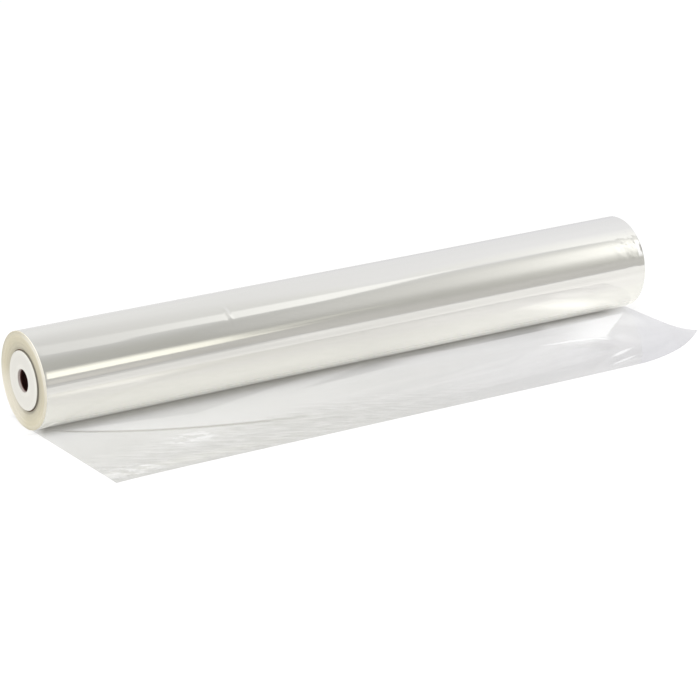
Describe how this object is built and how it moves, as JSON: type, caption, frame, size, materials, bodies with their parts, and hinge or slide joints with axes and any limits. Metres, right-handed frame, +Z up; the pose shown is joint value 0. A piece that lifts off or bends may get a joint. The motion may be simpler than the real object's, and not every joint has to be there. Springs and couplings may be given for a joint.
{
  "type": "roll of cellophane",
  "caption": "Roll of clear cellophane film on a cardboard core with white end plugs, lying on its side with a leaf of film drawn out in front.",
  "frame": {"origin": "on the roll's axis, at the middle of its length", "axes": "+X along the roll's axis, +Z up, and the leaf is drawn out towards -Y"},
  "size_m": [0.5063, 0.1542, 0.068],
  "materials": {
    "clear_film": "clear glossy film, silvery where it is wound and cream on the cut edges of the turns",
    "core_board": "matte brown paperboard",
    "plug_plastic": "satin white moulded plastic"
  },
  "bodies": {
    "root": {"film": "clear_film", "core_tube": "core_board", "left_end_plug": "plug_plastic", "right_end_plug": "plug_plastic"}
  },
  "joints": []
}
